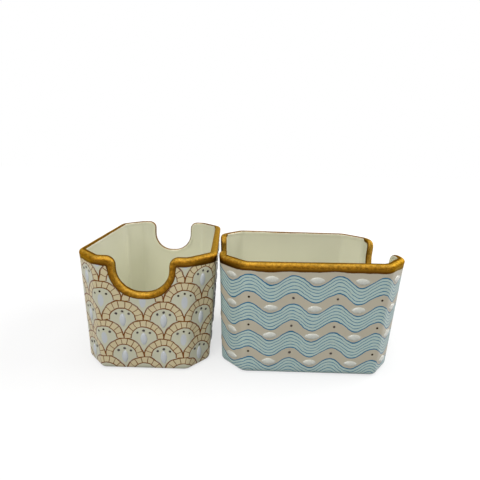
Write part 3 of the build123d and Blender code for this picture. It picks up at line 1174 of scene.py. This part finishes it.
class HOLDER_OT_dark_dots(bpy.types.Operator):
    """Lay the raised dark enamel dots"""

    bl_idname = "holder.dark_dots"
    bl_label = "Dark dots"

    def execute(self, context):
        decor, colours = context.scene.holder_decor, context.scene.holder_colours
        tree = drop_tree()
        values = {
            "Length": decor.dot_diameter, "Width": decor.dot_diameter, "Height": decor.dot_height,
            "Seed": decor.seed + DOT_SEED_STEP, **DOT_MAKE,
            "Material": drop_enamel("dark_enamel", colours.dark_dot, DOT_TONES, DOT_DULLNESS),
        }
        for holder in HOLDERS:
            shape = holder_shape(context.scene, holder)
            _, places = decor_places(shape, holder)
            drops = lay_drops(f"{holder}_dark_drops", shape, holder, places, True, tree, values)
            hand_over(drops, holder, "dark_dots")
        return {"FINISHED"}


def seen_ray(tree):
    """1 for rays from the eye, off gloss or through glass, which see the plain white room."""
    path = Wire.make(tree, "ShaderNodeLightPath").socket.node
    kinds = ("Camera", "Glossy", "Transmission")
    eye, gloss, through = (Wire(path.outputs[f"Is {kind} Ray"]) for kind in kinds)
    return eye.math("MAXIMUM", gloss).math("MAXIMUM", through)


def pale_floor():
    """White floor: plain matt paint that also shows the white room to the eye and keeps the shadow."""
    material = bpy.data.materials.new("pale_floor")
    material.use_nodes = True
    tree = material.node_tree
    output = tree.nodes["Material Output"]
    tree.nodes.remove(tree.nodes["Principled BSDF"])
    matt = Wire.make(tree, "ShaderNodeBsdfDiffuse", None, {"Color": FLOOR_PAINT})
    spot = Wire.make(tree, "ShaderNodeTexCoord", output=3)
    away = spot.vector("LENGTH", {}, 1)
    glow = spot.node("ShaderNodeEmission", None, {"Color": away.step(*FLOOR_FADE).between(*FLOOR_GLOW)})
    lit = matt.node("ShaderNodeAddShader", None, {0: matt, 1: glow})
    floor = matt.node("ShaderNodeMixShader", None, {0: seen_ray(tree), 1: matt, 2: lit})
    tree.links.new(floor.socket, output.inputs["Surface"])
    return material


def soft_lamp(name, place, power):
    """Large round light that shines on the holders."""
    data = bpy.data.lights.new(name, "AREA")
    data.shape = "DISK"
    data.size = LAMP_SIZE
    data.energy = power
    lamp = add_object(name, data)
    lamp.location = place
    lamp.rotation_euler = (LAMP_AIM - Vector(place)).to_track_quat("-Z", "Y").to_euler()


class HOLDER_OT_stage(bpy.types.Operator):
    """Set the floor, the soft lights and the camera"""

    bl_idname = "holder.stage"
    bl_label = "Stage"

    def execute(self, context):
        scene = context.scene
        settings = scene.holder_stage
        signs = ((-1, -1), (1, -1), (1, 1), (-1, 1))
        corners = [(x * FLOOR_REACH, y * FLOOR_REACH, -FLOOR_DROP) for x, y in signs]
        mesh = bpy.data.meshes.new("floor")
        mesh.from_pydata(corners, [], [(0, 1, 2, 3)])
        mesh.materials.append(pale_floor())
        add_object("floor", mesh)
        world = bpy.data.worlds.new("white_room")
        world.use_nodes = True
        scene.world = world
        tree = world.node_tree
        backdrop = tree.nodes["Background"].inputs
        backdrop["Color"].default_value = (1, 1, 1, 1)
        tree.links.new(seen_ray(tree).between(settings.sky, 1.0).socket, backdrop["Strength"])
        for lamp, place in LAMPS.items():
            soft_lamp(f"{lamp}_light", place, getattr(settings, f"{lamp}_power"))
        data = bpy.data.cameras.new("camera")
        data.sensor_width = SENSOR_WIDTH
        data.lens = settings.lens
        data.shift_x, data.shift_y = settings.shift_x, settings.shift_y
        data.clip_start = 0.01
        camera = add_object("camera", data)
        tilt = Matrix.Rotation(math.pi / 2 - settings.camera_tilt, 4, "X")
        roll = Matrix.Rotation(settings.camera_roll, 4, "Z")
        camera.matrix_world = Matrix.Translation(settings.camera_place) @ tilt @ roll
        scene.camera = camera
        scene.view_settings.view_transform = "Standard"
        return {"FINISHED"}


GROUPS = {
    "holder_form": HolderForm,
    "holder_decor": HolderDecor,
    "holder_colours": HolderColours,
    "holder_stage": HolderStage,
}
OPERATORS = (
    HOLDER_OT_ceramic_bodies,
    HOLDER_OT_gilt_rims,
    HOLDER_OT_white_grains,
    HOLDER_OT_dark_dots,
    HOLDER_OT_stage,
)


class HOLDER_PT_panel(bpy.types.Panel):
    """Sizes, colours and makers of the pair of holders"""

    bl_idname = "HOLDER_PT_panel"
    bl_label = "Packet holders"
    bl_space_type = "VIEW_3D"
    bl_region_type = "UI"
    bl_category = "Holders"

    def draw(self, context):
        for operator in OPERATORS:
            self.layout.operator(operator.bl_idname)
        for name, group in GROUPS.items():
            box = self.layout.box()
            box.label(text=group.__doc__)
            for prop in group.__annotations__:
                box.prop(getattr(context.scene, name), prop)


CLASSES = (*GROUPS.values(), *OPERATORS, HOLDER_PT_panel)


def register():
    for cls in CLASSES:
        bpy.utils.register_class(cls)
    for name, group in GROUPS.items():
        setattr(bpy.types.Scene, name, PointerProperty(type=group))


def unregister():
    for name in GROUPS:
        delattr(bpy.types.Scene, name)
    for cls in reversed(CLASSES):
        bpy.utils.unregister_class(cls)


def main():
    register()
    bpy.ops.holder.ceramic_bodies()
    bpy.ops.holder.gilt_rims()
    bpy.ops.holder.white_grains()
    bpy.ops.holder.dark_dots()
    bpy.ops.holder.stage()
    bpy.context.view_layer.update()


if __name__ == "__main__":
    main()
